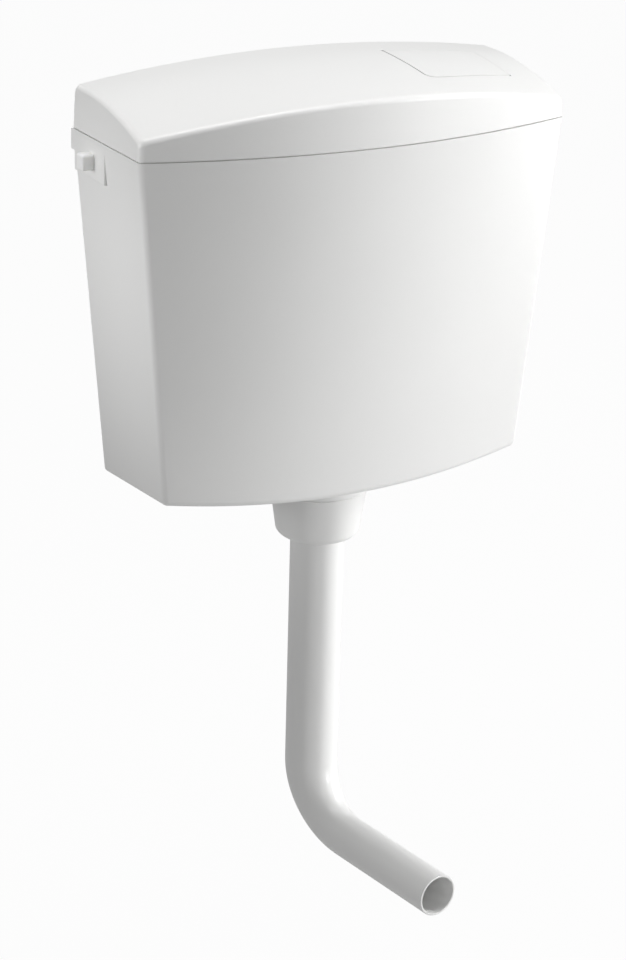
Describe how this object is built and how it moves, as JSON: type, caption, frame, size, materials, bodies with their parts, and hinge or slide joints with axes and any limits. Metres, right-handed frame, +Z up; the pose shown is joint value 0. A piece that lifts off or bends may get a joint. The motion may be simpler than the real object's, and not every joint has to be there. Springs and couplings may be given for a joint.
{
  "type": "toilet cistern",
  "caption": "Wall-hung low-level plastic cistern with a crowned lid, let-in push plate, side inlets, flush valve, float fill valve and a bent flush pipe.",
  "frame": {"origin": "midway between the two wall screw holes, on the wall plane at the back of the hanging rail", "axes": "+X to the user's right, +Y into the wall, +Z up; the front faces -Y"},
  "size_m": [0.4493, 0.2794, 0.753],
  "materials": {
    "white_abs": "moulded white ABS, glossy",
    "white_pvc": "white PVC, glossy",
    "natural_pp": "natural polypropylene, satin",
    "white_pom": "white acetal, satin",
    "blue_pp": "blue polypropylene, satin",
    "grey_pp": "grey polypropylene, satin",
    "foam": "white closed-cell foam",
    "black_rubber": "black EPDM rubber",
    "steel": "stainless steel"
  },
  "bodies": {
    "tank": {"tank": "white_abs", "lever_bridge": "white_pom", "lever_pin": "steel", "valve_cage": "blue_pp", "valve_seat": "white_pom", "outlet_gasket": "black_rubber", "tank_locknut": "natural_pp", "union_collar": "white_pvc", "pipe_seal": "black_rubber", "flush_pipe": "white_pvc", "left_inlet_plug": "natural_pp", "left_plug_washer": "black_rubber", "left_plug_nut": "natural_pp", "fill_valve_body": "white_pom", "fill_valve_washer": "black_rubber", "fill_valve_nut": "natural_pp", "fill_valve_cap": "white_pom", "float_arm_pin": "steel", "drop_tube": "natural_pp", "inlet_strainer": "grey_pp"},
    "lid": {"lid": "white_abs", "button_hinge_pin": "steel"},
    "push_plate": {"flush_button": "white_abs", "button_pusher": "white_pom"},
    "lever": {"flush_lever": "white_pom"},
    "plunger": {"overflow_tube": "white_pom", "lift_collar": "white_pom", "flush_float": "foam", "plunger_seal": "black_rubber", "seal_retainer": "white_pom"},
    "float": {"float_arm": "white_pom", "float_screw": "steel", "fill_float": "foam"},
    "piston": {"valve_piston": "white_pom", "piston_washer": "black_rubber"}
  },
  "joints": [
    {"name": "lid_lift", "type": "slide", "parent": "tank", "child": "lid", "axis": [0, 0, 1], "range_m": [0, 0.12]},
    {"name": "button_press", "type": "hinge", "parent": "lid", "child": "push_plate", "pos_m": [0.121, -0.055, 0.0465], "axis": [1, 0, 0], "range_deg": [0, 9.2]},
    {"name": "lever_rock", "type": "hinge", "parent": "tank", "child": "lever", "pos_m": [0.078, -0.0825, -0.0205], "axis": [0, 1, 0], "range_deg": [0, 10.96]},
    {"name": "plunger_lift", "type": "slide", "parent": "tank", "child": "plunger", "axis": [0, 0, 1], "range_m": [0, 0.0153]},
    {"name": "float_swing", "type": "hinge", "parent": "tank", "child": "float", "pos_m": [0.167, -0.0415, -0.0585], "axis": [0, 1, 0], "range_deg": [0, 14]},
    {"name": "piston_slide", "type": "slide", "parent": "tank", "child": "piston", "axis": [0, 0, 1], "range_m": [0, 0.0029]}
  ],
  "couplings": [
    {"joint": "lever_rock", "follows": "button_press", "ratio": 1.1904},
    {"joint": "plunger_lift", "follows": "button_press", "m_per_rad": 0.09522},
    {"joint": "piston_slide", "follows": "float_swing", "m_per_rad": 0.011827}
  ]
}
